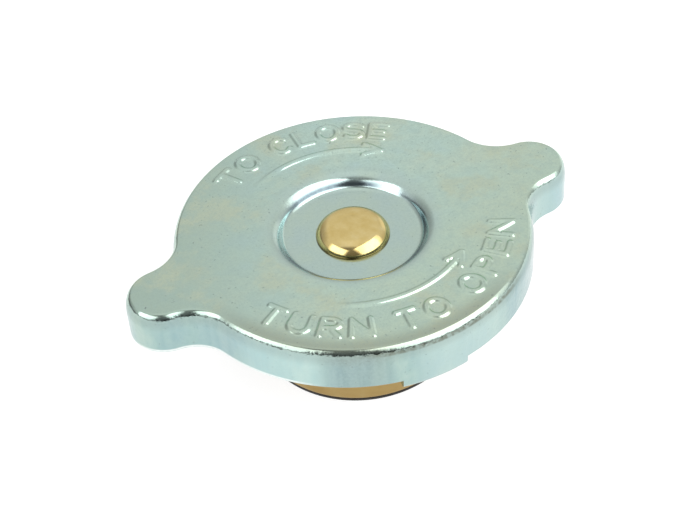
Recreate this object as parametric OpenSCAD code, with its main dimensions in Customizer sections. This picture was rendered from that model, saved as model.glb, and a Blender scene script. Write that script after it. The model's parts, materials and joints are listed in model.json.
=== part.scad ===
// Sprung radiator cap with two ears: the cover turns on a rivet, and a brass
// pressure valve with a small vacuum valve in its middle hangs below it.
// The origin is the centre of the seal's underside, with the ears along X.

/* [Cover] */
// Diameter of the round part of the cover
cover_d = 62.5; // [60:0.5:66]
// Height from the seal's underside to the cover's top
cap_h = 25.4; // [24.6:0.1:27]
// Thickness of the cover's steel sheet
sheet_t = 0.95; // [0.8:0.05:1.1]
// Depth of the skirt below the cover's top
skirt_h = 8; // [7.4:0.1:9]
// How far in from the skirt the rounded top edge begins
edge_in = 1.3; // [1.2:0.05:1.8]
// How far down the skirt the rounded top edge ends
edge_drop = 3; // [2:0.1:4]

/* [Ears] */
// Distance of an ear tip's centre beyond the round skirt
ear_out = 3.85; // [3:0.05:5]
// Radius of an ear's tip
ear_tip_r = 6.45; // [5.6:0.05:7.4]
// Radius of the hollow curve where an ear leaves the skirt
ear_hollow_r = 7.3; // [6:0.1:9]

/* [Recess] */
// Diameter of the flat floor of the central recess
recess_floor_d = 22.6; // [20:0.2:25]
// Depth of the recess floor below the cover's top
recess_depth = 2.4; // [2.1:0.05:3]
// Radius of the recess's upper rim
recess_rim_r = 3.2; // [1.6:0.1:3.3]
// Radius where the recess wall meets its floor
recess_foot_r = 1.3; // [0.8:0.1:1.4]
// Steepness of the recess wall in degrees
recess_wall_deg = 60; // [56:1:72]

/* [Locking lugs] */
// Width of each locking lug along the skirt
lug_w = 11.8; // [9:0.2:14]
// How far a lug hangs below the skirt
lug_drop = 2.1; // [1.7:0.1:3]
// How far a lug reaches inward from the skirt's inside
lug_reach = 4.2; // [3:0.1:5]
// Outer radius of a lug's bend
lug_bend_r = 1.5; // [1.2:0.1:1.6]

/* [Rivet] */
// Diameter of the rivet's button head
rivet_head_d = 12.9; // [11:0.1:14]
// Height of the button head's straight side
rivet_side_h = 0.2; // [0.15:0.05:0.4]
// Radius of the rounding between the button head's side and crown
rivet_round_r = 3.2; // [2.6:0.1:3.5]
// Steepness in degrees where that rounding meets the side
rivet_round_deg = 70; // [60:1:80]
// Steepness in degrees where that rounding meets the crown
rivet_crown_deg = 8; // [5:1:12]
// Diameter of the shoulder that the cover turns on
rivet_shoulder_d = 7; // [6.2:0.1:8]
// Diameter of the tenon below the shoulder
rivet_tenon_d = 5.6; // [4.6:0.1:5.8]
// Diameter of the clinched end under the bell's base
clinch_d = 9; // [8:0.1:11]
// Height of the clinched end
clinch_h = 1.2; // [0.8:0.1:1.6]

/* [Neck seal] */
// Gap between the spring disc and the inside of the skirt
disc_margin = 3.3; // [2.5:0.1:5]
// Thickness of the spring disc
disc_t = 0.45; // [0.3:0.05:0.6]
// How far the disc's rim is dished below its middle
disc_dish = 0.55; // [0.3:0.05:1]
// Width of the disc's flat rim
disc_rim_w = 1.5; // [1:0.1:2.5]
// Thickness of the rubber neck seal
neck_seal_t = 1.1; // [0.8:0.1:1.5]

/* [Bell] */
// Outside diameter of the bell
bell_d = 18; // [17:0.2:19]
// Thickness of the bell's sheet
bell_t = 0.55; // [0.4:0.05:0.7]
// Number of vent holes round the bell
vent_count = 4; // [2:1:6]
// Diameter of a vent hole
vent_d = 3; // [2:0.1:4]

/* [Pressure valve] */
// Outside diameter of the brass valve cup
cup_d = 36.8; // [34.4:0.2:38]
// Height of the cup's rim above the seal's underside
cup_rim_z = 7.2; // [6.4:0.1:8]
// Thickness of the cup's brass sheet
brass_t = 0.55; // [0.4:0.05:0.7]
// Radius of the cup's lower outside corner
cup_corner_r = 0.8; // [0.7:0.1:1.1]
// Travel of the pressure valve from its stop
valve_lift = 5; // [4:0.1:6]
// Outside diameter of the valve's tube
tube_d = 9.2; // [8.6:0.1:9.8]

/* [Valve seal] */
// Thickness of the seal at its face
seal_t = 2; // [1.7:0.1:2.4]
// Height of the seal's edge that shows under the cup
seal_edge_t = 0.6; // [0.4:0.05:0.8]
// How far the seal's edge lies in from the cup's side
seal_inset = 0.3; // [0.2:0.05:0.9]
// Thickness of the seal's web under the boss
seal_web_t = 1; // [0.8:0.1:1.4]
// Width of the face that meets the filler neck's seat
seal_land_w = 4.6; // [3.6:0.1:5.4]

/* [Pressure spring] */
// Wire diameter of the pressure spring
spring_wire_d = 1.9; // [1.6:0.1:2.1]
// Turns of the pressure spring
spring_turns = 5; // [4.5:0.5:5.5]
// Room between the bell and the pressure spring
spring_room = 2.05; // [1.5:0.05:2.3]
// Thickness of the spring seat
seat_t = 0.6; // [0.4:0.1:0.8]
// Height of the spring seat's turned-down lip
seat_lip_h = 1; // [0.6:0.1:1.4]

/* [Vacuum valve] */
// Diameter of the vacuum valve's disc
vacuum_d = 12; // [10.6:0.2:13.4]
// Thickness of the vacuum valve's disc
vacuum_disc_t = 0.7; // [0.5:0.1:0.9]
// Thickness of the vacuum valve's rubber washer
vacuum_seal_t = 0.8; // [0.6:0.1:1]
// Travel of the vacuum valve
vacuum_drop = 1.4; // [1:0.1:1.8]
// Diameter of the vacuum valve's stem
stem_d = 2; // [1.6:0.1:2.4]
// Wire diameter of the vacuum spring
vacuum_wire_d = 0.45; // [0.35:0.05:0.55]
// Turns of the vacuum spring
vacuum_turns = 5; // [4:0.5:6]

/* [Fits] */
// Radial clearance of a piece that turns or slides in a hole
run_fit = 0.05; // [0.02:0.01:0.1]
// Gap left where a moving piece rests on its stop
stop_gap = 0.05; // [0.02:0.01:0.1]
// Gap left between fixed pieces that lie on each other
seat_gap = 0.02; // [0.01:0.01:0.04]

/* [Hidden] */
$fn = 120;
arc_steps = 8;
edge_steps = 10;
slip = 0.3;

// Finishes
zinc = [0.76, 0.81, 0.81];
brass = [0.78, 0.62, 0.36];
rubber = [0.08, 0.08, 0.08];
steel = [0.6, 0.62, 0.64];

// Cover levels and radii
cover_r = cover_d / 2;
skirt_z = cap_h - skirt_h;
skirt_in_r = cover_r - sheet_t;
floor_z = cap_h - recess_depth;
floor_under = floor_z - sheet_t;

// Ear hollows: each is tangent to the skirt and to the ear's tip
ear_x = cover_r + ear_out;
hollow_dist = cover_r + ear_hollow_r;
hollow_to_tip = ear_tip_r + ear_hollow_r;
hollow_cos = (hollow_dist ^ 2 + ear_x ^ 2 - hollow_to_tip ^ 2) / (2 * hollow_dist * ear_x);
hollow_deg = acos(hollow_cos);
hollow_pos = hollow_dist * [cos(hollow_deg), sin(hollow_deg)];
tip_deg = atan2(hollow_pos[1], hollow_pos[0] - ear_x);

// Recess corners, where its sloped wall would meet the floor and the top
recess_bend = tan(recess_wall_deg / 2);
recess_wall = recess_depth / sin(recess_wall_deg);
recess_rim_round = min(recess_rim_r, 0.98 * recess_wall / recess_bend - recess_foot_r);
recess_foot_x = recess_floor_d / 2 + recess_foot_r * recess_bend;
recess_rim_x = recess_foot_x + recess_depth / tan(recess_wall_deg);
recess_land = 0.4;
recess_out_r = recess_rim_x + recess_rim_round * recess_bend + recess_land;

// Rivet and the stack that it holds below the cover
shoulder_r = rivet_shoulder_d / 2;
tenon_r = rivet_tenon_d / 2;
tenon_hole_r = tenon_r + seat_gap;
rivet_head_under = floor_z + stop_gap;
disc_top = floor_under - stop_gap;
disc_under = disc_top - disc_t;
disc_r = skirt_in_r - disc_margin;
bell_top = disc_under - seat_gap;
bell_base_under = bell_top - bell_t;
neck_seal_top = disc_under - seat_gap;
neck_seal_r = disc_r - slip;
seat_top = neck_seal_top - neck_seal_t - seat_gap;
seat_under = seat_top - seat_t;
bell_r = bell_d / 2;
bell_in_r = bell_r - bell_t;

// Pressure spring
spring_r = bell_r + spring_room + spring_wire_d / 2;
spring_in_r = bell_r + spring_room;
spring_out_r = spring_in_r + spring_wire_d;
seat_out_r = spring_out_r + slip + seat_t;
disc_flat_r = seat_out_r + slip;

// Vacuum valve levels, up from the open valve just above the seal's underside
ground_gap = 0.15;
vacuum_under = vacuum_drop + ground_gap;
vacuum_disc_top = vacuum_under + vacuum_disc_t;
vacuum_seal_top = vacuum_disc_top + vacuum_seal_t;
vacuum_r = vacuum_d / 2;
stem_r = stem_d / 2;

// Valve tube, from its rolled foot up to the flange that hangs on the bell
tube_r = tube_d / 2;
tube_wall = 0.7;
tube_bore_r = tube_r - tube_wall;
roll_t = 0.55;
roll_r = vacuum_r + 1.2;
collar_t = 0.6;
collar_r = tube_r + 1.4;
flange_t = 0.7;
flange_r = bell_in_r - slip;
mouth_r = stem_r + 1.6;
roll_under = vacuum_seal_top + stop_gap;
roll_top = roll_under + roll_t;
web_under = roll_top + seat_gap;
boss_under = web_under + seal_web_t + seat_gap;
boss_top = boss_under + brass_t;
collar_under = boss_top + seat_gap;
collar_top = collar_under + collar_t;
lip_under = collar_top + valve_lift + stop_gap;
lip_top = lip_under + bell_t;
flange_under = lip_top + stop_gap;
flange_top = flange_under + flange_t;

// Valve cup and seal
cup_r = cup_d / 2;
cup_in_r = cup_r - brass_t;
cup_trough_w = 1.1;
step_r = cup_in_r - cup_trough_w - brass_t;
cup_floor_top = seal_t + brass_t;
boss_r = spring_in_r - slip;
boss_in_r = boss_r - brass_t;
seal_r = cup_r - seal_inset;
seal_wall = 1.4;
seal_step = 0.5;

// Stem keeper and vacuum spring
keeper_t = 0.5;
keeper_r = tube_bore_r - 0.5;
keeper_top = flange_top - keeper_t;
keeper_under = keeper_top - keeper_t;
stem_head_r = stem_r + 0.5;
stem_head_t = 0.4;
vacuum_spring_r = (mouth_r + tube_bore_r) / 2;

// Points of an arc that rounds the corner b between its neighbours a and c
function unit(v) = v / norm(v);
function turn(a) = a > 180 ? a - 360 : a < -180 ? a + 360 : a;
function bearing(v) = atan2(v[1], v[0]);
function corner(a, b, c, r) =
    let (
        u = unit(a - b),
        v = unit(c - b),
        half = acos(u * v) / 2,
        centre = b + unit(u + v) * r / sin(half),
        start = bearing(b + u * r / tan(half) - centre),
        sweep = turn(bearing(b + v * r / tan(half) - centre) - start)
    )
    [for (i = [0 : arc_steps])
        let (a = start + sweep * i / arc_steps)
        centre + r * [cos(a), sin(a)]];

// Closed outline from corners given as [radius, height, rounding]
function flat(p) = [p[0], p[1]];
function rounded(corners) =
    let (n = len(corners))
    [for (i = [0 : n - 1])
        let (
            before = flat(corners[(i + n - 1) % n]),
            here = flat(corners[i]),
            after = flat(corners[(i + 1) % n]),
            r = corners[i][2]
        )
        each r > 0 ? corner(before, here, after, r) : [here]];

// Ring turned from an outline of corners
module turned(corners) {
    rotate_extrude() polygon(rounded(corners));
}

// Part of a ring between two bearings
module turned_arc(points, from_deg, to_deg) {
    rotate_extrude(angle = to_deg - from_deg, start = from_deg) polygon(points);
}

// Coil spring with closed ends that lie flat, between two levels
function coil_flat_share(height, wire, turns) =
    let (rise = height - wire, step = wire * 1.04)
    (rise - step * turns) / (rise - 2 * step);
function coil_height(t, height, wire, turns) =
    let (ends = coil_flat_share(height, wire, turns))
    wire / 2 + (height - wire) * min(1, max(0, (t - ends) / (turns - 2 * ends)));
module coil(radius, wire, from_z, to_z, turns, steps, sides) {
    rings = round(turns * steps);
    points = [
        for (i = [0 : rings], k = [0 : sides - 1])
            let (
                a = 360 * turns * i / rings,
                b = 360 * k / sides,
                reach = radius + wire / 2 * cos(b),
                z = from_z + coil_height(turns * i / rings, to_z - from_z, wire, turns)
            )
            [reach * cos(a), reach * sin(a), z + wire / 2 * sin(b)]
    ];
    skin = [
        for (i = [0 : rings - 1], k = [0 : sides - 1])
            let (m = (k + 1) % sides, lower = i * sides, upper = lower + sides)
            each [[lower + k, upper + k, upper + m], [lower + k, upper + m, lower + m]]
    ];
    first_end = [for (k = [0 : sides - 1]) k];
    last_end = [for (k = [sides - 1 : -1 : 0]) rings * sides + k];
    polyhedron(points, concat(skin, [first_end, last_end]), convexity = 10);
}

// Quarter ellipse of a rounded edge, from its flat top down to its side
function edge_curve(out_r, top, across, down) = [
    for (i = [0 : edge_steps])
        let (a = 90 * i / edge_steps)
        [out_r - across * (1 - sin(a)), top - down * (1 - cos(a))]
];

// Section of the rounded top edge and skirt, with its flat top from inner_r out to r.
// A skin above 0 thins the sheet by that much on each face.
function edge_section(inner_r, r, skin = 0) =
    let (
        out_r = r - skin,
        in_r = r - sheet_t + skin,
        top = cap_h - skin,
        under = cap_h - sheet_t + skin,
        outside = edge_curve(out_r, top, edge_in - skin, edge_drop - skin),
        inside = edge_curve(in_r, under, edge_in - sheet_t + skin, edge_drop - sheet_t + skin)
    )
    concat(
        [[inner_r, under], [inner_r, top]],
        outside,
        [[out_r, skirt_z + skin], [in_r, skirt_z + skin]],
        [for (i = [edge_steps : -1 : 0]) inside[i]]
    );

// The same section turned inside out, for the hollows beside the ears. It is a
// hair thinner than its neighbours, so that its ends can run into them.
join_skin = 0.02;
join_deg = 2;
join_strip = 0.4;
function hollow_section() = [
    for (p = edge_section(-edge_in - 2 * join_strip, 0, join_skin)) [ear_hollow_r - p[0], p[1]]
];

// Flat top between the recess, the two hollows and the ear's tip
module ear_plate() {
    side_r = 0.7 * (cover_r - edge_in);
    side_deg = hollow_deg + 3;
    half = [side_r * [cos(side_deg), sin(side_deg)], hollow_pos];
    other_half = [for (p = [half[1], half[0]]) [p[0], -p[1]]];
    tip = [ear_x + 1, 0];
    translate([0, 0, cap_h - sheet_t])
        linear_extrude(sheet_t)
            difference() {
                polygon(concat([[0, 0]], half, [tip], other_half));
                circle(r = recess_out_r - recess_land / 2);
                for (side = [-1, 1])
                    translate([hollow_pos[0], side * hollow_pos[1]])
                        circle(r = ear_hollow_r + edge_in + join_strip);
            }
}

module ear() {
    ear_plate();
    translate([ear_x, 0, 0])
        turned_arc(edge_section(0, ear_tip_r), -tip_deg, tip_deg);
    for (side = [0, 1])
        mirror([0, side, 0])
            translate([hollow_pos[0], hollow_pos[1], 0])
                turned_arc(hollow_section(), 180 + hollow_deg - join_deg, 180 + tip_deg + join_deg);
}

// Dished middle of the cover, with the hole that turns on the rivet's shoulder
module recess() {
    under_shift = sheet_t * recess_bend;
    hole_r = shoulder_r + run_fit;
    turned([
        [hole_r, floor_under, 0],
        [recess_foot_x + under_shift, floor_under, recess_foot_r + sheet_t],
        [recess_rim_x + under_shift, cap_h - sheet_t, recess_rim_round - sheet_t],
        [recess_out_r, cap_h - sheet_t, 0],
        [recess_out_r, cap_h, 0],
        [recess_rim_x, cap_h, recess_rim_round],
        [recess_foot_x, floor_z, recess_foot_r],
        [hole_r, floor_z, 0]
    ]);
}

// Tongue of the skirt that is bent inward to hook under the filler neck's flange
module locking_lug() {
    lug_z = skirt_z - lug_drop;
    lug_in_r = skirt_in_r - lug_reach;
    half_deg = asin(lug_w / 2 / cover_r);
    section = rounded([
        [skirt_in_r, skirt_z, 0],
        [skirt_in_r, lug_z + sheet_t, lug_bend_r - sheet_t],
        [lug_in_r, lug_z + sheet_t, 0],
        [lug_in_r, lug_z, 0],
        [cover_r, lug_z, lug_bend_r],
        [cover_r, skirt_z, 0]
    ]);
    turned_arc(section, 90 - half_deg, 90 + half_deg);
}

module cover() {
    color(zinc)
        union() {
            recess();
            for (side = [0, 180])
                rotate([0, 0, side]) {
                    turned_arc(
                        edge_section(recess_out_r - recess_land / 2, cover_r),
                        hollow_deg,
                        180 - hollow_deg
                    );
                    ear();
                    locking_lug();
                }
        }
}

module rivet() {
    head_r = rivet_head_d / 2;
    round_steps = 9;
    round_axis_r = head_r - rivet_round_r * sin(rivet_round_deg);
    round_axis_z = rivet_head_under + rivet_side_h - rivet_round_r * cos(rivet_round_deg);
    rounding = [
        for (i = [0 : round_steps])
            let (a = rivet_round_deg + (rivet_crown_deg - rivet_round_deg) * i / round_steps)
            [round_axis_r + rivet_round_r * sin(a), round_axis_z + rivet_round_r * cos(a), 0]
    ];
    crown_steps = 3;
    crown_r = rivet_round_r + round_axis_r / sin(rivet_crown_deg);
    crown_axis_z = round_axis_z - (crown_r - rivet_round_r) * cos(rivet_crown_deg);
    crown = [
        for (i = [1 : crown_steps])
            let (a = rivet_crown_deg * (1 - i / crown_steps))
            [crown_r * sin(a), crown_axis_z + crown_r * cos(a), 0]
    ];
    color(brass)
        turned([
            [0, bell_base_under - seat_gap - clinch_h, 0],
            [clinch_d / 2, bell_base_under - seat_gap - clinch_h, clinch_h * 0.6],
            [clinch_d / 2, bell_base_under - seat_gap, 0],
            [tenon_r, bell_base_under - seat_gap, 0],
            [tenon_r, disc_top, 0],
            [shoulder_r, disc_top, 0],
            [shoulder_r, rivet_head_under, 0],
            [head_r, rivet_head_under, 0],
            each rounding,
            each crown
        ]);
}

module spring_disc() {
    color(steel)
        turned([
            [tenon_hole_r, disc_top, 0],
            [tenon_hole_r, disc_under, 0],
            [disc_flat_r, disc_under, 0],
            [disc_r - disc_rim_w, disc_under - disc_dish, 0],
            [disc_r, disc_under - disc_dish, 0],
            [disc_r, disc_top - disc_dish, 0],
            [disc_r - disc_rim_w, disc_top - disc_dish, 0],
            [disc_flat_r, disc_top, 0]
        ]);
}

module neck_seal() {
    neck_seal_in_r = bell_r + slip;
    neck_seal_under = neck_seal_top - neck_seal_t;
    color(rubber)
        turned([
            [neck_seal_in_r, neck_seal_top, 0],
            [neck_seal_in_r, neck_seal_under, 0],
            [disc_flat_r, neck_seal_under, 0],
            [disc_r - disc_rim_w, neck_seal_under - disc_dish, 0],
            [neck_seal_r, neck_seal_under - disc_dish, neck_seal_t / 4],
            [neck_seal_r, neck_seal_top - disc_dish, 0],
            [disc_r - disc_rim_w, neck_seal_top - disc_dish, 0],
            [disc_flat_r, neck_seal_top, 0]
        ]);
}

module spring_seat() {
    color(steel)
        turned([
            [bell_r + slip, seat_top, 0],
            [bell_r + slip, seat_under, 0],
            [seat_out_r - seat_t, seat_under, 0],
            [seat_out_r - seat_t, seat_under - seat_lip_h, 0],
            [seat_out_r, seat_under - seat_lip_h, 0],
            [seat_out_r, seat_top, seat_t]
        ]);
}

module bell() {
    lip_hole_r = tube_r + run_fit;
    bend_r = bell_t * 1.6;
    vent_z = (lip_top + bell_base_under) / 2;
    color(brass)
        difference() {
            turned([
                [tenon_hole_r, bell_top, 0],
                [tenon_hole_r, bell_base_under, 0],
                [bell_in_r, bell_base_under, bend_r - bell_t],
                [bell_in_r, lip_top, bend_r - bell_t],
                [lip_hole_r, lip_top, 0],
                [lip_hole_r, lip_under, 0],
                [bell_r, lip_under, bend_r],
                [bell_r, bell_top, bend_r]
            ]);
            for (i = [0 : vent_count - 1])
                rotate([0, 0, 360 * i / vent_count + 45])
                    translate([bell_in_r - bell_t, 0, vent_z])
                        rotate([0, 90, 0])
                            cylinder(h = 3 * bell_t, d = vent_d);
        }
}

module pressure_spring() {
    color(steel)
        coil(
            spring_r, spring_wire_d, cup_floor_top + seat_gap, seat_under - seat_gap,
            spring_turns, 28, 8
        );
}

module valve_cup() {
    tube_hole_r = tube_r + seat_gap;
    bend_r = brass_t * 1.6;
    color(brass)
        turned([
            [tube_hole_r, boss_top, 0],
            [tube_hole_r, boss_under, 0],
            [boss_in_r, boss_under, bend_r - brass_t],
            [boss_in_r, seal_t, bend_r],
            [step_r, seal_t, bend_r - brass_t],
            [step_r, seal_edge_t, bend_r - brass_t],
            [cup_r, seal_edge_t, cup_corner_r],
            [cup_r, cup_rim_z, 0],
            [cup_in_r, cup_rim_z, 0],
            [cup_in_r, seal_edge_t + brass_t, cup_corner_r - brass_t],
            [step_r + brass_t, seal_edge_t + brass_t, bend_r - brass_t],
            [step_r + brass_t, cup_floor_top, bend_r],
            [boss_r, cup_floor_top, bend_r - brass_t],
            [boss_r, boss_top, bend_r]
        ]);
}

module valve_seal() {
    web_in_r = tube_r + seat_gap;
    wall_in_r = boss_in_r - seal_wall;
    land_in_r = seal_r - seal_land_w;
    edge_round = 0.2;
    bend_r = brass_t * 1.6;
    color(rubber)
        turned([
            [web_in_r, boss_under - seat_gap, 0],
            [web_in_r, web_under, 0],
            [wall_in_r, web_under, 0],
            [wall_in_r, seal_step, 0],
            [land_in_r, seal_step, 0],
            [land_in_r, 0, edge_round],
            [seal_r, 0, edge_round],
            [seal_r, seal_edge_t - seat_gap, 0],
            [step_r - seat_gap, seal_edge_t - seat_gap, 0],
            [step_r - seat_gap, seal_t - seat_gap, bend_r],
            [boss_in_r - seat_gap, seal_t - seat_gap, 0],
            [boss_in_r - seat_gap, boss_under - seat_gap, bend_r]
        ]);
}

module valve_tube() {
    color(brass)
        turned([
            [tube_bore_r, flange_top, 0],
            [tube_bore_r, collar_top, 0],
            [mouth_r, collar_top, 0],
            [mouth_r, roll_under, 0],
            [roll_r, roll_under, 0],
            [roll_r, roll_top, roll_t / 2],
            [tube_r, roll_top, 0],
            [tube_r, collar_under, 0],
            [collar_r, collar_under, 0],
            [collar_r, collar_top, collar_t / 4],
            [tube_r, collar_top, 0],
            [tube_r, flange_under, 0],
            [flange_r, flange_under, 0],
            [flange_r, flange_top, flange_t / 4]
        ]);
}

module vacuum_valve() {
    color(brass)
        turned([
            [0, vacuum_under, 0],
            [vacuum_r, vacuum_under, vacuum_disc_t / 3],
            [vacuum_r, vacuum_disc_top, 0],
            [stem_r, vacuum_disc_top, 0],
            [stem_r, keeper_top + seat_gap, 0],
            [stem_head_r, keeper_top + seat_gap, 0],
            [stem_head_r, keeper_top + seat_gap + stem_head_t, stem_head_t / 2],
            [0, keeper_top + seat_gap + stem_head_t, 0]
        ]);
}

module vacuum_seal() {
    washer_in_r = stem_r + seat_gap;
    washer_r = vacuum_r - slip;
    color(rubber)
        turned([
            [washer_in_r, vacuum_disc_top, 0],
            [washer_r, vacuum_disc_top, 0],
            [washer_r, vacuum_seal_top, vacuum_seal_t / 4],
            [washer_in_r, vacuum_seal_top, 0]
        ]);
}

module vacuum_spring() {
    color(steel)
        coil(
            vacuum_spring_r, vacuum_wire_d, collar_top + seat_gap, keeper_under - seat_gap,
            vacuum_turns, 16, 8
        );
}

module stem_keeper() {
    keeper_in_r = stem_r + seat_gap;
    color(steel)
        turned([
            [keeper_in_r, keeper_under, 0],
            [keeper_r, keeper_under, 0],
            [keeper_r, keeper_top, keeper_t / 4],
            [keeper_in_r, keeper_top, 0]
        ]);
}

cover();
rivet();
spring_disc();
neck_seal();
spring_seat();
bell();
pressure_spring();
valve_cup();
valve_seal();
valve_tube();
vacuum_valve();
vacuum_seal();
vacuum_spring();
stem_keeper();
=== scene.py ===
"""Radiator cap: the embossed cover, the smooth turned pieces, the springs and every finish.

Lengths are in millimetres until a mesh is made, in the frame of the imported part:
+Z up along the cap's axis, the ears along X, and z = 0 under the valve seal.
"""
import json
import math

import bpy
import numpy as np
from mathutils import Matrix, Vector


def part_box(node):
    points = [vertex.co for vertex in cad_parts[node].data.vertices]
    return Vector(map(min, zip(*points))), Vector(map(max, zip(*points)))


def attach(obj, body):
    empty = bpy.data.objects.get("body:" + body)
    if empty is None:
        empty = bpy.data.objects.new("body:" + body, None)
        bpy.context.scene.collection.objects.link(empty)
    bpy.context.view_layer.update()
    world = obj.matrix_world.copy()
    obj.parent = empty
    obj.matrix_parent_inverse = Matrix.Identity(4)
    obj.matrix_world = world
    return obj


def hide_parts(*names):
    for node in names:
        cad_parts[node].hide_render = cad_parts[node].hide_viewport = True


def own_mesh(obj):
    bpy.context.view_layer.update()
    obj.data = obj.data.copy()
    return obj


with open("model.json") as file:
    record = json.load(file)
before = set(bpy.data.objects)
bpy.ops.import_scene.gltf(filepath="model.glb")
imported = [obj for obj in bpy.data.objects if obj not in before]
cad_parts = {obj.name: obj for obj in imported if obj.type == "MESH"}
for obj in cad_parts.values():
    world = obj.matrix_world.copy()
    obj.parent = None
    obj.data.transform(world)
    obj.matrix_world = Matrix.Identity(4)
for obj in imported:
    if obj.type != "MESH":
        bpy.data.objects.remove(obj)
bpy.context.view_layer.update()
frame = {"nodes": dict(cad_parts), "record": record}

MM = 0.001


def node_box(node):
    """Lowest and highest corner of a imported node, in millimetres."""
    low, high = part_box(node)
    return low / MM, high / MM


# Cover sizes, from its box and from the sheet that it is pressed from
cover_low, cover_high = node_box("cover")
COVER_R = cover_high.y
TOP_Z = cover_high.z
LUG_Z = cover_low.z
SHEET = 0.95
EDGE_IN = 1.3
EDGE_DROP = 3.0
EDGE_R = COVER_R - EDGE_IN
EDGE_Z = TOP_Z - EDGE_DROP
SKIRT_H = 8.0
SKIRT_Z = TOP_Z - SKIRT_H
LIP_H = 0.4
LIP_Z = SKIRT_Z + LIP_H
LIP_ROUND = 0.3
EAR_TIP_R = 6.45
EAR_X = cover_high.x - EAR_TIP_R
EAR_HOLLOW_R = 7.3
LUG_W = 11.8
LUG_BEND_R = 1.5
LUG_REACH = 4.2
LUG_SLIT = math.radians(0.04)

# Recess of the cover
RECESS_FLOOR_R = 11.3
RECESS_DEPTH = 2.4
RECESS_RIM_R = 3.2
RECESS_FOOT_R = 1.3
RECESS_WALL = math.radians(60)
RECESS_LAND = 0.4
HOLE_R = 3.55
FLOOR_RING_R = 8.5
FLOOR_Z = TOP_Z - RECESS_DEPTH
RECESS_BEND = math.tan(RECESS_WALL / 2)
FOOT_X = RECESS_FLOOR_R + RECESS_FOOT_R * RECESS_BEND
RIM_X = FOOT_X + RECESS_DEPTH / math.tan(RECESS_WALL)
RECESS_OUT_R = RIM_X + RECESS_RIM_R * RECESS_BEND + RECESS_LAND

# Photograph's camera: the cap is seen from this bearing and height
VIEW_AZIMUTH = math.radians(22.6)
VIEW_ELEVATION = math.radians(42.61)
VIEW_ROLL = math.radians(4.31)
VIEW_DISTANCE = 284.1
VIEW_RIGHT_SHIFT = 0.881
VIEW_UP_SHIFT = 6.676
FOCAL_PX = 1648.0
IMAGE_W_PX = 700
SENSOR_MM = 36.0


def photo_axes(right, back, up):
    """Vector given by the photograph's right, its depth and up, in the part's frame."""
    c, s = math.cos(VIEW_AZIMUTH), math.sin(VIEW_AZIMUTH)
    return Vector((c * right + s * back, c * back - s * right, up))


# Outlines and meshes

def fillet(before, corner, after, radius, steps):
    """Points of an arc that rounds a corner between its two neighbours."""
    before, corner, after = (np.array(p, float) for p in (before, corner, after))
    u = (before - corner) / np.linalg.norm(before - corner)
    v = (after - corner) / np.linalg.norm(after - corner)
    half = math.acos(max(-1.0, min(1.0, float(u @ v)))) / 2
    middle = (u + v) / np.linalg.norm(u + v)
    centre = corner + middle * radius / math.sin(half)
    first = corner + u * radius / math.tan(half) - centre
    last = corner + v * radius / math.tan(half) - centre
    start = math.atan2(first[1], first[0])
    sweep = math.atan2(last[1], last[0]) - start
    sweep = (sweep + math.pi) % (2 * math.pi) - math.pi
    angles = start + sweep * np.linspace(0, 1, steps + 1)
    return [tuple(centre + radius * np.array([math.cos(a), math.sin(a)])) for a in angles]


def rounded_path(corners, closed=False):
    """Points along corners given as (x, y) or (x, y, rounding, steps)."""
    points = []
    count = len(corners)
    for i, corner in enumerate(corners):
        inner = closed or 0 < i < count - 1
        if len(corner) > 2 and corner[2] > 0 and inner:
            before = corners[i - 1][:2]
            after = corners[(i + 1) % count][:2]
            points += fillet(before, corner[:2], after, corner[2], corner[3])
        else:
            points.append((float(corner[0]), float(corner[1])))
    return points


def make_piece(name, verts, faces, sharp_deg):
    """Mesh object from points in millimetres, smooth but for edges sharper than an angle."""
    mesh = bpy.data.meshes.new(name)
    mesh.from_pydata((np.asarray(verts) * MM).tolist(), [], faces)
    mesh.validate()
    mesh.polygons.foreach_set("use_smooth", [True] * len(mesh.polygons))
    mesh.set_sharp_from_angle(angle=math.radians(sharp_deg))
    piece = bpy.data.objects.new(name, mesh)
    bpy.context.scene.collection.objects.link(piece)
    return piece


def turned_piece(name, corners, segments=160, sharp_deg=35):
    """Ring turned from a closed outline of (radius, height, rounding, steps)."""
    outline = rounded_path(corners, closed=True)
    verts, rings = [], []
    for r, z in outline:
        if r < 1e-6:
            rings.append([len(verts)])
            verts.append((0.0, 0.0, z))
            continue
        rings.append(list(range(len(verts), len(verts) + segments)))
        for k in range(segments):
            a = 2 * math.pi * k / segments
            verts.append((r * math.cos(a), r * math.sin(a), z))
    faces = []
    for j, lower in enumerate(rings):
        upper = rings[(j + 1) % len(rings)]
        for k in range(segments):
            m = (k + 1) % segments
            corner_ids = [
                lower[k % len(lower)], lower[m % len(lower)],
                upper[m % len(upper)], upper[k % len(upper)],
            ]
            face = list(dict.fromkeys(corner_ids))
            if len(face) > 2:
                faces.append(face)
    return make_piece(name, verts, faces, sharp_deg)


# Least rise of a turn, in wire thicknesses
COIL_PITCH = 1.04
COIL_TURNS = 5


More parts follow.
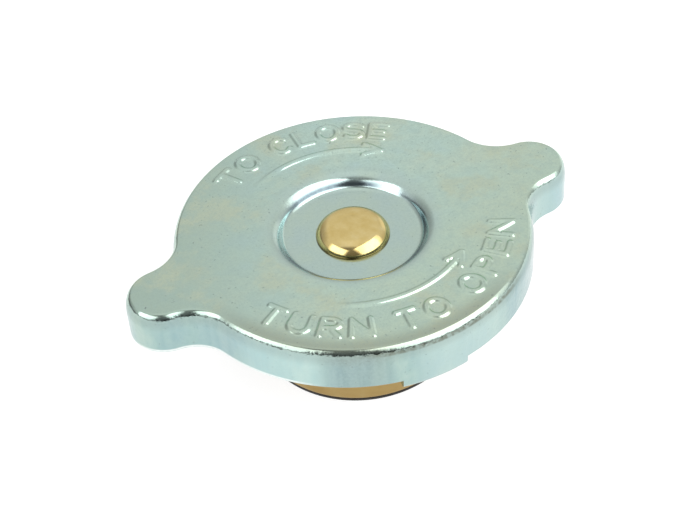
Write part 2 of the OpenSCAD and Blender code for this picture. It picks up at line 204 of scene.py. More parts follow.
def coil_piece(name, radius, wire, low, high, steps, sides):
    """Coil spring whose end turns lie flat, between two heights."""
    rise = high - low - wire
    step = wire * COIL_PITCH
    flat_turns = (rise - step * COIL_TURNS) / (rise - 2 * step)
    rings = COIL_TURNS * steps
    t = COIL_TURNS * np.arange(rings + 1) / rings
    z = low + wire / 2 + rise * np.clip((t - flat_turns) / (COIL_TURNS - 2 * flat_turns), 0, 1)
    a = 2 * math.pi * t
    b = 2 * math.pi * np.arange(sides) / sides
    reach = radius + wire / 2 * np.cos(b)[None, :]
    verts = np.stack([
        reach * np.cos(a)[:, None],
        reach * np.sin(a)[:, None],
        z[:, None] + wire / 2 * np.sin(b)[None, :],
    ], axis=2).reshape(-1, 3)
    faces = []
    for i in range(rings):
        for k in range(sides):
            m = (k + 1) % sides
            faces.append([i * sides + k, (i + 1) * sides + k, (i + 1) * sides + m, i * sides + m])
    faces.append(list(range(sides)))
    faces.append([rings * sides + k for k in reversed(range(sides))])
    return make_piece(name, verts, faces, 40)


# Embossed signs: strokes on the cover's top, each a list of points in millimetres

LETTER_H = 3.9
LETTER_R = 25.6
LETTER_W = {
    "T": 3.3, "U": 3.2, "R": 3.1, "N": 3.3, "O": 3.5,
    "P": 3.0, "E": 2.8, "C": 3.3, "L": 2.7, "S": 3.1,
}
WORD_SPACE = 2.6
ARROW_R = 20.2
ARROW_LENGTH = ARROW_R * math.radians(78)
ARROW_HEAD = 3.1
ARROW_HEAD_RISE = 1.45
ARROW_TAIL = 9.0
RIDGE_H = 0.42
RIDGE_CREST = 0.12
RIDGE_FOOT = 0.80
SIGN_REACH = math.radians(75)
# Words, the gap between letters, the side (1 at the back, -1 at the front) and the middle's bearing
SIGNS = (
    ("TO CLOSE", 1.5, 1, math.radians(88.6)),
    ("TURN TO OPEN", 1.9, -1, math.radians(-89.0)),
)


def bow(cx, cy, rx, ry, start_deg, end_deg, steps=14):
    """Points along part of an ellipse."""
    angles = np.radians(np.linspace(start_deg, end_deg, steps + 1))
    return [(cx + rx * math.cos(a), cy + ry * math.sin(a)) for a in angles]


def letter_strokes(letter):
    """Strokes of a plain capital, drawn one unit high and then made LETTER_H high."""
    w = LETTER_W[letter]
    bowl = [(0, 1), (0.55 * w, 1)] + bow(0.55 * w, 0.74, 0.45 * w, 0.26, 90, -90, 8) + [(0, 0.48)]
    shapes = {
        "T": [[(0, 1), (w, 1)], [(w / 2, 1), (w / 2, 0)]],
        "U": [[(0, 1), (0, 0.4)] + bow(w / 2, 0.4, w / 2, 0.4, 180, 360) + [(w, 0.4), (w, 1)]],
        "R": [[(0, 0), (0, 1)], bowl, [(0.5 * w, 0.48), (w, 0)]],
        "N": [[(0, 0), (0, 1), (w, 0), (w, 1)]],
        "O": [bow(w / 2, 0.5, w / 2, 0.5, 0, 360, 28)],
        "P": [[(0, 0), (0, 1)], bowl],
        "E": [[(w, 1), (0, 1), (0, 0), (w, 0)], [(0, 0.5), (0.85 * w, 0.5)]],
        "C": [bow(w / 2, 0.5, w / 2, 0.5, 45, 315, 22)],
        "L": [[(0, 1), (0, 0), (w, 0)]],
        "S": [bow(w / 2, 0.75, w / 2, 0.25, 20, 270) + bow(w / 2, 0.25, w / 2, 0.25, 90, -160)],
    }
    return [[(x, y * LETTER_H) for x, y in stroke] for stroke in shapes[letter]]


def word_strokes(text, gap):
    """Strokes of a row of capitals, centred on x = 0 and y = 0."""
    strokes, x = [], 0.0
    for letter in text:
        if letter == " ":
            x += WORD_SPACE
            continue
        strokes += [[(x + px, py - LETTER_H / 2) for px, py in stroke] for stroke in letter_strokes(letter)]
        x += LETTER_W[letter] + gap
    half = (x - gap) / 2
    return [[(px - half, py) for px, py in stroke] for stroke in strokes]


def arrow_strokes():
    """Shaft and head of an arrow that points along x, centred on x = 0."""
    tip = ARROW_LENGTH / 2
    head = [(tip - ARROW_HEAD, ARROW_HEAD_RISE), (tip, 0), (tip - ARROW_HEAD, -ARROW_HEAD_RISE)]
    return [[(-tip, 0), (tip, 0)], head]


def distance_to_strokes(u, v, strokes):
    """Distance of each point to the nearest stroke."""
    best = np.full(u.shape, 1e9)
    for stroke in strokes:
        for (x0, y0), (x1, y1) in zip(stroke, stroke[1:]):
            dx, dy = x1 - x0, y1 - y0
            square = max(dx * dx + dy * dy, 1e-12)
            share = np.clip(((u - x0) * dx + (v - y0) * dy) / square, 0, 1)
            best = np.minimum(best, np.hypot(u - x0 - share * dx, v - y0 - share * dy))
    return best


def ridge_height(distance):
    """Height of a pressed ridge at a distance from its middle."""
    t = np.clip((RIDGE_FOOT - distance) / (RIDGE_FOOT - RIDGE_CREST), 0, 1)
    return RIDGE_H * t * t * (3 - 2 * t)


def emboss(x, y):
    """Height of the embossed words and arrows above the cover's top."""
    r = np.hypot(x, y)
    bearing = np.arctan2(y, x)
    height = np.zeros(x.shape)
    for text, gap, side, middle in SIGNS:
        turn = (bearing - middle + math.pi) % (2 * math.pi) - math.pi
        near = np.abs(turn) < SIGN_REACH
        along = -side * turn[near]
        letters = word_strokes(text, gap)
        words = distance_to_strokes(along * LETTER_R, side * (r[near] - LETTER_R), letters)
        arrow = distance_to_strokes(along * ARROW_R, r[near] - ARROW_R, arrow_strokes())
        tail = np.clip((along * ARROW_R + ARROW_LENGTH / 2) / ARROW_TAIL, 0, 1)
        height[near] = np.maximum(ridge_height(words), ridge_height(arrow) * tail)
    return height


# Cover, with the number of steps along each stretch of its outline and its edge

EAR_STEPS = 36
HOLLOW_STEPS = 14
LUG_STEPS = 42
SIDE_STEPS = 112
EDGE_STEPS = 14
UNDER_EDGE_STEPS = 7
# Outer radius and number of rings of each band of the top, which are close together where the signs are
TOP_BANDS = ((18.2, 5), (22.6, 18), (28.6, 30), (EDGE_R, 3))


def arc_angles(start, end, steps, with_end=False):
    """Angles along an arc, with or without its end."""
    return np.linspace(start, end, steps + 1)[:None if with_end else -1]


def cover_outline():
    """Points of the plan outline, anticlockwise, with outward normals and a mark for the lugs."""
    dist = COVER_R + EAR_HOLLOW_R
    reach = EAR_TIP_R + EAR_HOLLOW_R
    hollow = math.acos((dist ** 2 + EAR_X ** 2 - reach ** 2) / (2 * dist * EAR_X))
    hx, hy = dist * math.cos(hollow), dist * math.sin(hollow)
    tip = math.atan2(hy, hx - EAR_X)
    lug = math.asin(LUG_W / 2 / COVER_R)
    points, normals, in_lug = [], [], []

    def add(cx, cy, radius, angles, lug_mark=False, inside_out=False):
        for a in angles:
            n = np.array([math.cos(a), math.sin(a)])
            points.append(np.array([cx, cy]) + radius * n)
            normals.append(-n if inside_out else n)
            in_lug.append(lug_mark)

    # Half of the outline, from one ear to the other; the other half is the same, turned round
    middle = math.pi / 2
    add(EAR_X, 0, EAR_TIP_R, arc_angles(-tip, tip, EAR_STEPS))
    add(hx, hy, EAR_HOLLOW_R, arc_angles(math.pi + tip, math.pi + hollow, HOLLOW_STEPS), inside_out=True)
    add(0, 0, COVER_R, arc_angles(hollow, middle - lug - LUG_SLIT, SIDE_STEPS, with_end=True))
    add(0, 0, COVER_R, arc_angles(middle - lug, middle + lug, LUG_STEPS, with_end=True), lug_mark=True)
    add(0, 0, COVER_R, arc_angles(middle + lug + LUG_SLIT, math.pi - hollow, SIDE_STEPS))
    add(-hx, hy, EAR_HOLLOW_R, arc_angles(-hollow, -tip, HOLLOW_STEPS), inside_out=True)
    points, normals = np.array(points), np.array(normals)
    return np.vstack([points, -points]), np.vstack([normals, -normals]), np.array(in_lug + in_lug)


def lip_and_lug():
    """Sections of the skirt's lower edge and of a lug bent inward from it, with as many points each."""
    lip = rounded_path([
        (0, LIP_Z),
        (0, SKIRT_Z, LIP_ROUND, 7),
        (SHEET, SKIRT_Z, LIP_ROUND, 7),
        (SHEET, LIP_Z),
    ])
    tongue = SHEET + LUG_REACH
    lug = rounded_path([
        (0, LIP_Z),
        (0, LUG_Z, LUG_BEND_R, 6),
        (tongue, LUG_Z, LIP_ROUND, 1),
        (tongue, LUG_Z + SHEET, LIP_ROUND, 1),
        (SHEET, LUG_Z + SHEET, LUG_BEND_R - SHEET, 4),
        (SHEET, LIP_Z),
    ])
    return lip, lug


def cover_faces(total, in_lug, lip_first, lip_last):
    """Faces between closed rows of points, slit beside the lugs where the rows form the lip."""
    count = len(in_lug)
    lip_rows = range(lip_first, lip_last + 1)
    faces = []
    for i in range(count):
        n = (i + 1) % count
        lug_end = in_lug[i] != in_lug[n]
        for j in range(total):
            if lug_end and lip_first <= j < lip_last:
                continue
            k = (j + 1) % total
            faces.append([j * count + i, k * count + i, k * count + n, j * count + n])
        if lug_end:
            faces.append([j * count + i for j in lip_rows] + [j * count + n for j in reversed(lip_rows)])
    return faces


def cover_piece():
    """The pressed cover: one closed sheet, swept round its outline from the hole to the skirt and back."""
    points, normals, in_lug = cover_outline()
    flat_edge = points - EDGE_IN * normals
    bearing = np.arctan2(flat_edge[:, 1], flat_edge[:, 0])
    ray = np.stack([np.cos(bearing), np.sin(bearing)], axis=1)
    inner = ray * RECESS_OUT_R
    rows = []

    def add_row(plan, z):
        rows.append(np.column_stack([plan, np.broadcast_to(z, len(plan))]))

    def add_turned(path):
        for r, z in path:
            add_row(ray * r, z)

    def add_inset(inset, z):
        add_row(points - inset * normals, z)

    # Recess, from the hole up to the top
    add_turned(rounded_path([
        (HOLE_R, FLOOR_Z),
        (FLOOR_RING_R, FLOOR_Z),
        (FOOT_X, FLOOR_Z, RECESS_FOOT_R, 10),
        (RIM_X, TOP_Z, RECESS_RIM_R, 16),
        (RECESS_OUT_R, TOP_Z),
    ]))
    # Top, which goes over from the round recess to the outline with its ears
    start = RECESS_OUT_R
    for end, rings in TOP_BANDS:
        for r in np.linspace(start, end, rings + 1)[1:]:
            share = (r - RECESS_OUT_R) / (EDGE_R - RECESS_OUT_R)
            plan = inner + share * (flat_edge - inner)
            add_row(plan, TOP_Z + emboss(plan[:, 0], plan[:, 1]))
        start = end
    # Rounded edge and skirt
    for a in np.linspace(0, math.pi / 2, EDGE_STEPS + 1)[1:]:
        add_inset(EDGE_IN * (1 - math.sin(a)), TOP_Z - EDGE_DROP * (1 - math.cos(a)))
    for share in (2 / 3, 1 / 3):
        add_inset(0, LIP_Z + (EDGE_Z - LIP_Z) * share)
    # Lower edge, or a lug bent inward from it
    lip_first = len(rows)
    for (lip_inset, lip_z), (lug_inset, lug_z) in zip(*lip_and_lug()):
        inset = np.where(in_lug, lug_inset, lip_inset)
        add_inset(inset[:, None], np.where(in_lug, lug_z, lip_z))
    lip_last = len(rows) - 1
    # Inside of the skirt and of the rounded edge
    for share in (1 / 2, 1):
        add_inset(SHEET, LIP_Z + (EDGE_Z - LIP_Z) * share)
    across, down = EDGE_IN - SHEET, EDGE_DROP - SHEET
    for a in np.linspace(0, math.pi / 2, UNDER_EDGE_STEPS + 1)[1:]:
        add_inset(EDGE_IN - across * math.cos(a), EDGE_Z + down * math.sin(a))
    # Underside, and the recess from below
    under = TOP_Z - SHEET
    for share in (0.75, 0.5, 0.25):
        add_row(inner + share * (flat_edge - inner), under)
    shift = SHEET * RECESS_BEND
    add_turned(rounded_path([
        (RECESS_OUT_R, under),
        (RIM_X + shift, under, RECESS_RIM_R - SHEET, 5),
        (FOOT_X + shift, FLOOR_Z - SHEET, RECESS_FOOT_R + SHEET, 6),
        (HOLE_R, FLOOR_Z - SHEET),
    ]))
    faces = cover_faces(len(rows), in_lug, lip_first, lip_last)
    return make_piece("pressed_cover", np.vstack(rows), faces, 50)


# Finishes

class Nodes:
    """A node tree under construction."""

    def __init__(self, owner):
        owner.use_nodes = True
        self.tree = owner.node_tree
        self.tree.nodes.clear()

    def add(self, kind, inputs=None, **settings):
        """New node, with settings on the node and values or links on its inputs."""
        made = self.tree.nodes.new(kind)
        for key, value in settings.items():
            setattr(made, key, value)
        for key, value in (inputs or {}).items():
            self.put(made, key, value)
        return made

    def put(self, made, key, value):
        """Value or link for one input of a node."""
        if isinstance(value, bpy.types.NodeSocket):
            self.tree.links.new(value, made.inputs[key])
        else:
            made.inputs[key].default_value = value

    def ramp(self, factor, stops):
        """Colour ramp over (position, colour) stops."""
        made = self.add("ShaderNodeValToRGB", {"Fac": factor})
        elements = made.color_ramp.elements
        while len(elements) < len(stops):
            elements.new(0.5)
        for element, (position, colour) in zip(elements, stops):
            element.position = position
            element.color = (*colour, 1.0)
        return made.outputs["Color"]

    def mix(self, factor, first, second, blend="MIX"):
        """Two colours mixed."""
        made = self.add("ShaderNodeMix", {0: factor}, data_type="RGBA", blend_type=blend)
        for key, colour in ((6, first), (7, second)):
            self.put(made, key, colour if isinstance(colour, bpy.types.NodeSocket) else (*colour, 1.0))
        return made.outputs[2]

    def math(self, operation, first, second):
        """Arithmetic on two values."""
        return self.add("ShaderNodeMath", {0: first, 1: second}, operation=operation).outputs["Value"]

    def times(self, product, *factors):
        """Product of several values."""
        for factor in factors:
            product = self.math("MULTIPLY", product, factor)
        return product

    def along(self, vector, direction):
        """Share of a vector along a direction."""
        made = self.add("ShaderNodeVectorMath", {0: vector, 1: direction}, operation="DOT_PRODUCT")
        return made.outputs["Value"]


class Finish(Nodes):
    """A material under construction, whose places are the piece's own."""

    def __init__(self, name):
        self.material = bpy.data.materials.new(name)
        super().__init__(self.material)
        self.shader = self.add("ShaderNodeBsdfPrincipled")
        self.add("ShaderNodeOutputMaterial", {"Surface": self.shader.outputs["BSDF"]})
        coordinates = self.add("ShaderNodeTexCoord")
        self.place = coordinates.outputs["Object"]
        self.normal = coordinates.outputs["Normal"]

    def stretched(self, scale):
        """Object coordinates, stretched by a scale along each axis."""
        return self.add("ShaderNodeMapping", {"Vector": self.place, "Scale": scale}).outputs["Vector"]

    def plan(self):
        """Object coordinates without their height."""
        return self.stretched((1.0, 1.0, 0.0))

    def noise(self, feature_mm, detail=3.0, roughness=0.5, where=None):
        """Noise whose features are about that many millimetres wide."""
        made = self.add("ShaderNodeTexNoise", {
            "Vector": where or self.place,
            "Scale": 1 / (feature_mm * MM),
            "Detail": detail,
            "Roughness": roughness,
        })
        return made.outputs["Fac"]

    def span(self, value, low, high, to_low=0.0, to_high=1.0):
        """Value mapped smoothly from one range to another."""
        made = self.add("ShaderNodeMapRange", {
            "Value": value, "From Min": low, "From Max": high, "To Min": to_low, "To Max": to_high,
        }, interpolation_type="SMOOTHSTEP")
        return made.outputs["Result"]

    def rise(self, vector):
        """Upward share of a vector."""
        return self.add("ShaderNodeSeparateXYZ", {"Vector": vector}).outputs["Z"]

    def height_span(self, low, high, to_low=0.0, to_high=1.0):
        """Value that changes between two heights in millimetres."""
        return self.span(self.rise(self.place), low * MM, high * MM, to_low, to_high)

    def height_band(self, low, full_low, full_high, high):
        """Value that is 1 in a band of heights in millimetres and fades to 0 on both sides."""
        return self.times(self.height_span(low, full_low), self.height_span(full_high, high, 1.0, 0.0))

    def radius_span(self, low, high, to_low=0.0, to_high=1.0):
        """Value that changes between two distances from the cap's axis, in millimetres."""
        radius = self.add("ShaderNodeVectorMath", {0: self.plan()}, operation="LENGTH").outputs["Value"]
        return self.span(radius, low * MM, high * MM, to_low, to_high)

    def towards(self, bearing_deg, outer_deg, inner_deg, amount=1.0):
        """Amount near a bearing round the axis, counted from the photograph's front to its right."""
        unit = self.add("ShaderNodeVectorMath", {0: self.plan()}, operation="NORMALIZE").outputs["Vector"]
        a = math.radians(bearing_deg)
        along = self.along(unit, photo_axes(math.sin(a), -math.cos(a), 0))
        outer, inner = math.cos(math.radians(outer_deg)), math.cos(math.radians(inner_deg))
        return self.span(along, outer, inner, 0.0, amount)

    def bump(self, height, depth_mm, strength, under=None):
        """Bump from a height, over another bump if there is one."""
        made = self.add("ShaderNodeBump", {
            "Height": height, "Distance": depth_mm * MM, "Strength": strength,
        })
        if under is not None:
            self.put(made, "Normal", under)
        return made.outputs["Normal"]

    def finish(self, **inputs):
        """Shader inputs set, by name with spaces as underscores."""
        for key, value in inputs.items():
            self.put(self.shader, key.replace("_", " "), value)
        return self.material


# Where the zinc changes: radii, bearings with their outer and inner reach, amounts and tones
SHOULDER_R = 26.6
SHADE_FULL_R = 13.4
SHADE_END_R = 15.0
RECESS_SHADE = (0.08, 0.11, 0.14)
WALL_SHADES = ((88, 168, 142), (-50, 166, 148))
# Painted light and shade round the skirt: bearing, outer and inner reach, amount and tone
SKIRT_LIGHT_AND_SHADE = (
    (34, 22, 5, 0.48, (0.56, 0.70, 0.66)),
    (-24, 20, 5, 0.42, (0.50, 0.70, 0.70)),
    (-2, 14, 2, 0.5, (0.24, 0.30, 0.28)),
    (108, 16, 4, 0.4, (0.56, 0.72, 0.71)),
)


def zinc_top(f):
    """Green-grey top with ochre and blue patches, with painted shade on the left and along its front edge.
    """
    top = f.ramp(f.noise(8, 4, 0.55), [
        (0.28, (0.56, 0.76, 0.73)),
        (0.45, (0.59, 0.78, 0.69)),
        (0.58, (0.63, 0.79, 0.67)),
        (0.74, (0.66, 0.76, 0.60)),
    ])
    front_right = f.along(f.place, photo_axes(0.7, -0.7, 0))
    top = f.mix(f.span(front_right, -10 * MM, 26 * MM, 0.0, 0.6), top, (0.58, 0.71, 0.55))
    # Painted shade: the top darker towards the left
    left = f.along(f.place, photo_axes(-1, 0, 0))
    top = f.mix(f.span(left, 0.0, 38 * MM, 0.0, 0.85), top, (0.45, 0.58, 0.49))
    ochre = f.span(f.noise(9, 4, 0.6), 0.50, 0.66, 0.0, 0.6)
    top = f.mix(ochre, top, (0.63, 0.70, 0.52))
    blotches = f.span(f.noise(1.8, 4, 0.7), 0.42, 0.66, 0.0, 0.30)
    top = f.mix(blotches, top, (0.47, 0.62, 0.57))
    # Painted shade on the top next to its rounded edge, at the front
    painted_edge_shade = f.times(f.radius_span(SHOULDER_R, EDGE_R), f.towards(4, 62, 36, 0.72))
    return f.mix(painted_edge_shade, top, (0.40, 0.45, 0.35))


def zinc_skirt(f):
    """Bluer skirt with upright streaks, painted light and shade round it, a painted highlight on its lip
    and painted shade below its rounded edge.
    """
    skirt = f.ramp(f.noise(7, 4, 0.55, f.stretched((1.0, 1.0, 0.5))), [
        (0.28, (0.27, 0.42, 0.45)),
        (0.45, (0.30, 0.44, 0.44)),
        (0.60, (0.34, 0.48, 0.45)),
        (0.74, (0.43, 0.55, 0.49)),
    ])
    # Painted lighter and darker patches round the skirt
    for *where, tone in SKIRT_LIGHT_AND_SHADE:
        skirt = f.mix(f.towards(*where), skirt, tone)
    # Painted highlight on the lip at the front left
    lip = f.height_band(SKIRT_Z + 0.12, SKIRT_Z + 0.3, SKIRT_Z + 0.5, SKIRT_Z + 0.8)
    skirt = f.mix(f.times(lip, f.towards(-42, 30, 16, 0.9)), skirt, (0.86, 0.90, 0.88))
    streaks = f.span(f.noise(1.2, 3, 0.5, f.stretched((1.0, 1.0, 0.12))), 0.35, 0.65, 0.0, 0.12)
    skirt = f.mix(streaks, skirt, (0.52, 0.64, 0.62))
    # Painted shade on the skirt, darker towards its top
    upper_skirt_shade = f.height_span(TOP_Z - 3.6, TOP_Z - 1.4, 0.0, 0.3)
    return f.mix(upper_skirt_shade, skirt, (0.24, 0.26, 0.22))


def zinc():
    """Bright zinc plate with a pale passivation: green-grey above, bluer in the recess and on the skirt,
    whose darker colour is partly painted shade.
    """
    f = Finish("zinc")
    recess_floor = f.ramp(f.noise(5, 3, 0.5), [
        (0.30, (0.53, 0.68, 0.64)),
        (0.70, (0.56, 0.70, 0.60)),
    ])
    recess_wall = f.ramp(f.noise(3, 3, 0.5), [
        (0.30, (0.58, 0.74, 0.84)),
        (0.70, (0.62, 0.77, 0.82)),
    ])
    facing = f.rise(f.normal)
    outside = f.radius_span(RECESS_OUT_R - 2.5, RECESS_OUT_R + 1)
    sides = f.mix(outside, recess_wall, zinc_skirt(f))
    flats = f.mix(outside, recess_floor, zinc_top(f))
    # Upward faces take the top's colours and upright ones the skirt's and wall's: a passivation tint, and
    # on the skirt also darker as painted shade
    colour = f.mix(f.span(facing, 0.2, 0.9), sides, flats)
    # Shade on the recess's wall, left out at two bearings, and at the foot of its front
    inside = f.radius_span(SHADE_FULL_R, SHADE_END_R, 1.0, 0.0)
    steep = f.span(facing, 0.52, 0.74, 0.88, 0.0)
    for where in WALL_SHADES:
        steep = f.times(steep, f.towards(*where))
    colour = f.mix(f.times(steep, inside), colour, RECESS_SHADE)
    foot_shade = f.times(f.span(facing, 0.76, 0.95, 0.8, 0.0), f.towards(0, 80, 50), inside)
    colour = f.mix(foot_shade, colour, RECESS_SHADE)
    # Ragged painted dark reflection on the rounded edge, from the front to the right
    painted_edge_line = f.height_band(TOP_Z - 1.75, TOP_Z - 1.35, TOP_Z - 0.95, TOP_Z - 0.70)
    ragged = f.times(f.span(f.noise(0.9, 3, 0.6), 0.35, 0.60, 0.35, 1.0), f.towards(30, 36, 18, 0.8))
    colour = f.mix(f.times(painted_edge_line, ragged, outside), colour, (0.14, 0.15, 0.11))
    # Fine mottling and dark specks
    mottling = f.span(f.noise(0.5, 2, 0.6), 0.40, 0.62, 0.0, 0.16)
    colour = f.mix(mottling, colour, (0.40, 0.52, 0.49))
    specks = f.span(f.noise(0.45, 1, 0.5), 0.70, 0.80, 0.0, 0.5)
    colour = f.mix(specks, colour, (0.16, 0.19, 0.19))
    # Waves and grain of the sheet, with scuffs along its upper edge
    normal = f.bump(f.noise(2.4, 2, 0.5), 0.03, 0.25)
    normal = f.bump(f.noise(0.22, 2, 0.6), 0.012, 0.35, normal)
    edge = f.times(f.height_span(TOP_Z - 0.8, TOP_Z - 0.1, 1.0, 0.0), outside)
    normal = f.bump(f.times(f.noise(0.8, 2, 0.5), edge), 0.12, 0.6, normal)
    normal = f.bump(f.noise(0.7, 2, 0.5), 0.03, 0.3, normal)
    roughness = f.span(f.noise(3, 5, 0.65), 0.3, 0.7, 0.11, 0.2)
    roughness = f.math("MAXIMUM", roughness, f.times(foot_shade, 0.9))
    return f.finish(Base_Color=colour, Metallic=1.0, Roughness=roughness, Normal=normal)


def brass_polished():
    """Polished brass of the rivet, with painted shade where its head meets the recess's floor."""
    f = Finish("brass_polished")
    colour = f.ramp(f.noise(2.5, 4, 0.6), [
        (0.30, (0.72, 0.54, 0.20)),
        (0.55, (0.80, 0.63, 0.27)),
        (0.75, (0.84, 0.69, 0.34)),
    ])
    # Painted shade at the foot of the head
    foot_shade = f.height_span(FLOOR_Z + 0.22, FLOOR_Z + 0.50, 0.9, 0.0)
    colour = f.mix(foot_shade, colour, (0.16, 0.11, 0.04))
    normal = f.bump(f.noise(0.2, 2, 0.6), 0.01, 0.3)
    roughness = f.span(f.noise(1.5, 4, 0.6), 0.3, 0.7, 0.08, 0.16)
    return f.finish(Base_Color=colour, Metallic=1.0, Roughness=roughness, Normal=normal)


def brass_dull():
    """Drawn brass sheet, dulled by handling."""
    f = Finish("brass_dull")
    colour = f.ramp(f.noise(4, 5, 0.6), [
        (0.28, (0.36, 0.24, 0.085)),
        (0.55, (0.42, 0.30, 0.12)),
        (0.78, (0.48, 0.37, 0.17)),
    ])
    drawn = f.noise(0.35, 3, 0.6, f.stretched((1.0, 1.0, 0.08)))
    normal = f.bump(drawn, 0.02, 0.3)
    roughness = f.span(f.noise(2, 4, 0.6), 0.3, 0.7, 0.30, 0.46)
    return f.finish(Base_Color=colour, Metallic=1.0, Roughness=roughness, Normal=normal)


def spring_steel():
    """Plain steel with a faint grain."""
    f = Finish("spring_steel")
    colour = f.ramp(f.noise(3, 4, 0.6), [
        (0.3, (0.42, 0.43, 0.44)),
        (0.6, (0.55, 0.56, 0.57)),
        (0.8, (0.62, 0.62, 0.61)),
    ])
    normal = f.bump(f.noise(0.25, 3, 0.6), 0.015, 0.3)
    roughness = f.span(f.noise(1.2, 4, 0.6), 0.3, 0.7, 0.24, 0.42)
    return f.finish(Base_Color=colour, Metallic=1.0, Roughness=roughness, Normal=normal)


def rubber():
    """Matt black moulded rubber with a dusty bloom."""
    f = Finish("rubber")
    colour = f.ramp(f.noise(1.8, 5, 0.65), [
        (0.35, (0.024, 0.022, 0.020)),
        (0.65, (0.042, 0.038, 0.034)),
        (0.85, (0.068, 0.062, 0.055)),
    ])
    normal = f.bump(f.noise(0.18, 3, 0.6), 0.02, 0.4)
    roughness = f.span(f.noise(1.0, 4, 0.6), 0.3, 0.7, 0.55, 0.8)
    return f.finish(Base_Color=colour, Roughness=roughness, Normal=normal)


def dress(piece, material):
    """One finish all over a piece."""
    piece.data.materials.clear()
    piece.data.materials.append(material)


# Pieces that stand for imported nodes: the same outlines as the solids, with finer arcs

def stand_in(piece, node, body, material):
    """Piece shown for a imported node, with a finish, which moves with the node's body."""
    dress(piece, material)
    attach(piece, body)
    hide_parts(node)


def rivet_piece():
    """Shoulder rivet whose domed button head has a faint turned ring."""
    low, high = node_box("rivet")
    play = 0.05
    head_r, side_h = high.x, 0.2
    round_r, steep, flat = 3.2, math.radians(70), math.radians(8)
    round_points, crown_points = 32, 40
    ring_r, ring_w, ring_depth = 2.2, 0.35, 0.025
    shoulder_r, tenon_r = 3.5, 2.8
    clinch_r, clinch_h, clinch_round = 4.5, 1.2, 0.72
    disc_top = FLOOR_Z - SHEET - play
    head_under = FLOOR_Z + play
    axis_r = head_r - round_r * math.sin(steep)
    axis_z = head_under + side_h - round_r * math.cos(steep)
    crown_r = round_r + axis_r / math.sin(flat)
    crown_z = axis_z - (crown_r - round_r) * math.cos(flat)
    dome = [
        (axis_r + round_r * math.sin(a), axis_z + round_r * math.cos(a))
        for a in np.linspace(steep, flat, round_points)
    ]
    for a in np.linspace(flat, 0, crown_points)[1:]:
        r = crown_r * math.sin(a)
        ring = ring_depth * math.exp(-((r - ring_r) / ring_w) ** 2)
        dome.append((r, crown_z + crown_r * math.cos(a) - ring))
    return turned_piece("button_rivet", [
        (0, low.z),
        (clinch_r, low.z, clinch_round, 8),
        (clinch_r, low.z + clinch_h),
        (tenon_r, low.z + clinch_h),
        (tenon_r, disc_top),
        (shoulder_r, disc_top),
        (shoulder_r, head_under),
        (head_r, head_under),
        *dome,
    ])


def cup_piece():
    """Drawn cup of the pressure valve."""
    low, high = node_box("valve_cup")
    sheet, cup_r, rim = 0.55, high.x, high.z
    bend = sheet * 1.6
    corner_r, rim_round = 0.8, 0.2
    hole_r, groove_w = 4.62, 1.1
    seal_t, boss_r, boss_top = 2.0, 10.75, 5.24
    step_r = cup_r - sheet - groove_w - sheet
    return turned_piece("drawn_cup", [
        (hole_r, boss_top),
        (hole_r, boss_top - sheet),
        (boss_r - sheet, boss_top - sheet, bend - sheet, 5),
        (boss_r - sheet, seal_t, bend, 6),
        (step_r, seal_t, bend - sheet, 5),
        (step_r, low.z, bend - sheet, 5),
        (cup_r, low.z, corner_r, 10),
        (cup_r, rim, rim_round, 4),
        (cup_r - sheet, rim, rim_round, 4),
        (cup_r - sheet, low.z + sheet, corner_r - sheet, 5),
        (step_r + sheet, low.z + sheet, bend - sheet, 5),
        (step_r + sheet, seal_t + sheet, bend, 6),
        (boss_r, seal_t + sheet, bend - sheet, 5),
        (boss_r, boss_top, bend, 6),
    ], segments=220)


def spring(node, body, wire, steps, sides, material):
    """Coil spring in place of a node, between its lowest and highest points, which moves with the node's
    body.
    """
    low, high = node_box(node)
    piece = coil_piece("coil_of_" + node, high.x - wire / 2, wire, low.z, high.z, steps, sides)
    stand_in(piece, node, body, material)
    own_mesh(piece)


# Stage, in metres

FLOOR_REACH = 2.5
FLOOR_GREY = 0.4
FLOOR_GLOW = 0.8
# Place along the photograph's axes, size and radiance; each core stands in front of a wider, dimmer box
SOFT_BOXES = (
    ("left_light", (-0.60, -0.465, 0.42), (0.85, 0.66), 0.7),
    ("left_light_core", (-0.57, -0.442, 0.40), (0.64, 0.56), 1.3),
    ("right_light", (0.595, -0.41, 0.55), (1.45, 1.04), 0.7),
    ("right_light_core", (0.53, -0.41, 0.525), (1.0, 0.92), 1.3),
)
# Directions in the room, along the photograph's axes
UP = (0, 0, 1)
FRONT = (-0.19, -0.88, 0.44)
BACK = (0.5, 0.866, 0)
BACK_LEFT = (-0.80, 0.58, 0.15)
BACK_RIGHT = (0.65, 0.75, 0.09)


def camera():
    """Camera at the photograph's place, with its roll."""
    towards = photo_axes(0, -math.cos(VIEW_ELEVATION), math.sin(VIEW_ELEVATION))
    right = photo_axes(1, 0, 0)
    up = photo_axes(0, math.sin(VIEW_ELEVATION), math.cos(VIEW_ELEVATION))
    aim = Vector((0, 0, TOP_Z))
    place = aim + towards * VIEW_DISTANCE - right * VIEW_RIGHT_SHIFT - up * VIEW_UP_SHIFT
    c, s = math.cos(VIEW_ROLL), math.sin(VIEW_ROLL)
    turned_right = right * c - up * s
    turned_up = right * s + up * c
    data = bpy.data.cameras.new("camera")
    data.sensor_fit = "HORIZONTAL"
    data.sensor_width = SENSOR_MM
    data.lens = FOCAL_PX / IMAGE_W_PX * SENSOR_MM
    data.clip_start, data.clip_end = 0.01, 20
    eye = bpy.data.objects.new("camera", data)
    turn = Matrix((turned_right, turned_up, towards)).transposed()
    eye.matrix_world = Matrix.Translation(place * MM) @ turn.to_4x4()
    bpy.context.scene.collection.objects.link(eye)
    bpy.context.scene.camera = eye


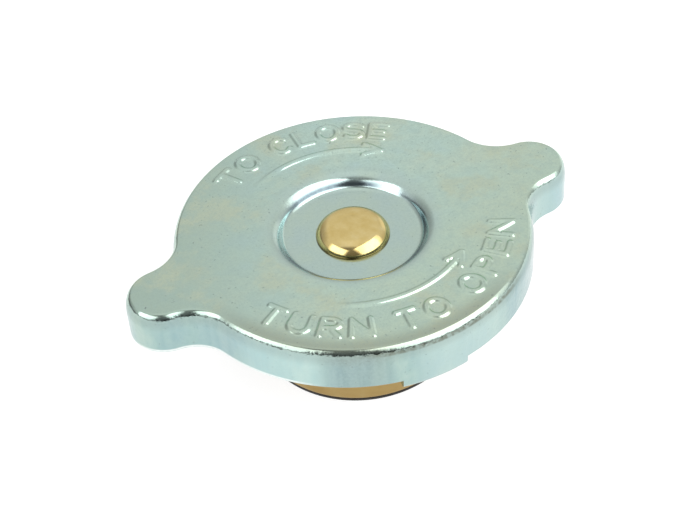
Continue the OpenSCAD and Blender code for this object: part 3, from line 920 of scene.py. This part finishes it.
def soft_box(name, place, size, radiance):
    """Area light that faces the cap."""
    data = bpy.data.lights.new(name, "AREA")
    data.shape = "RECTANGLE"
    data.size, data.size_y = size
    data.energy = radiance * math.pi * size[0] * size[1]
    lamp = bpy.data.objects.new(name, data)
    lamp.location = photo_axes(*place)
    aim = Vector((0, 0, 0.5 * TOP_Z * MM))
    lamp.rotation_euler = (aim - lamp.location).to_track_quat("-Z", "Y").to_euler()
    bpy.context.scene.collection.objects.link(lamp)


def floor():
    """Plain white floor that keeps the shadow and is open from below."""
    mesh = bpy.data.meshes.new("floor")
    corners = [(x * FLOOR_REACH, y * FLOOR_REACH, 0) for x, y in ((-1, -1), (1, -1), (1, 1), (-1, 1))]
    mesh.from_pydata(corners, [], [[0, 1, 2, 3]])
    plane = bpy.data.objects.new("floor", mesh)
    bpy.context.scene.collection.objects.link(plane)
    material = bpy.data.materials.new("floor")
    nodes = Nodes(material)
    matt = nodes.add("ShaderNodeBsdfDiffuse", {"Color": (FLOOR_GREY, FLOOR_GREY, FLOOR_GREY, 1)})
    path = nodes.add("ShaderNodeLightPath").outputs
    seen = nodes.math("MAXIMUM", path["Is Camera Ray"], path["Is Glossy Ray"])
    seen = nodes.math("MAXIMUM", seen, path["Is Transmission Ray"])
    strength = nodes.times(seen, FLOOR_GLOW)
    glow = nodes.add("ShaderNodeEmission", {"Color": (1, 1, 1, 1), "Strength": strength})
    both = nodes.add("ShaderNodeAddShader", {0: matt.outputs["BSDF"], 1: glow.outputs["Emission"]})
    below = nodes.add("ShaderNodeNewGeometry").outputs["Backfacing"]
    clear = nodes.add("ShaderNodeBsdfTransparent").outputs["BSDF"]
    one_sided = nodes.add("ShaderNodeMixShader", {0: below, 1: both.outputs["Shader"], 2: clear})
    nodes.add("ShaderNodeOutputMaterial", {"Surface": one_sided.outputs["Shader"]})
    mesh.materials.append(material)


def surroundings():
    """Pale room, darker low down except behind, dark in front, with a lighter patch behind on the right."""
    world = bpy.data.worlds.new("room")
    bpy.context.scene.world = world
    nodes = Nodes(world)
    ray = nodes.add("ShaderNodeTexCoord").outputs["Generated"]

    def shade(direction, stops):
        """Brightness by how far a ray points towards a direction."""
        colours = [(position, (level, level, level)) for position, level in stops]
        return nodes.ramp(nodes.along(ray, photo_axes(*direction)), colours)

    horizon = shade(UP, [(0.10, 0.25), (0.26, 1.0)])
    behind = shade(BACK, [(0.0, 0.0), (0.3, 1.0)])
    level = shade(UP, [(0.0, 0.55), (0.3, 0.68), (0.6, 0.76), (0.9, 0.80), (1.0, 0.88)])
    for change in (
        shade(FRONT, [(0.70, 1.0), (0.87, 0.28)]),
        shade(BACK_LEFT, [(0.80, 1.0), (0.97, 0.6)]),
        shade(BACK_RIGHT, [(0.93, 1.0), (0.985, 1.5)]),
        nodes.mix(1.0, horizon, behind, "LIGHTEN"),
    ):
        level = nodes.mix(1.0, level, change, "MULTIPLY")
    glow = nodes.add("ShaderNodeBackground", {"Color": level})
    nodes.add("ShaderNodeOutputWorld", {"Surface": glow.outputs["Background"]})


# Build

finishes = {
    "zinc": zinc(),
    "brass": brass_dull(),
    "spring_steel": spring_steel(),
    "rubber": rubber(),
}
for part in frame["record"]["subparts"]:
    dress(frame["nodes"][part["node"]], finishes[part["material_slot"]])

stand_in(cover_piece(), "cover", "cover", finishes["zinc"])
stand_in(rivet_piece(), "rivet", "core", brass_polished())
stand_in(cup_piece(), "valve_cup", "pressure_valve", finishes["brass"])
steel = finishes["spring_steel"]
spring("pressure_spring", "core", 1.9, 56, 18, steel)
spring("vacuum_spring", "pressure_valve", 0.45, 40, 12, steel)

camera()
floor()
surroundings()
for box in SOFT_BOXES:
    soft_box(*box)
bpy.context.scene.view_settings.view_transform = "Standard"
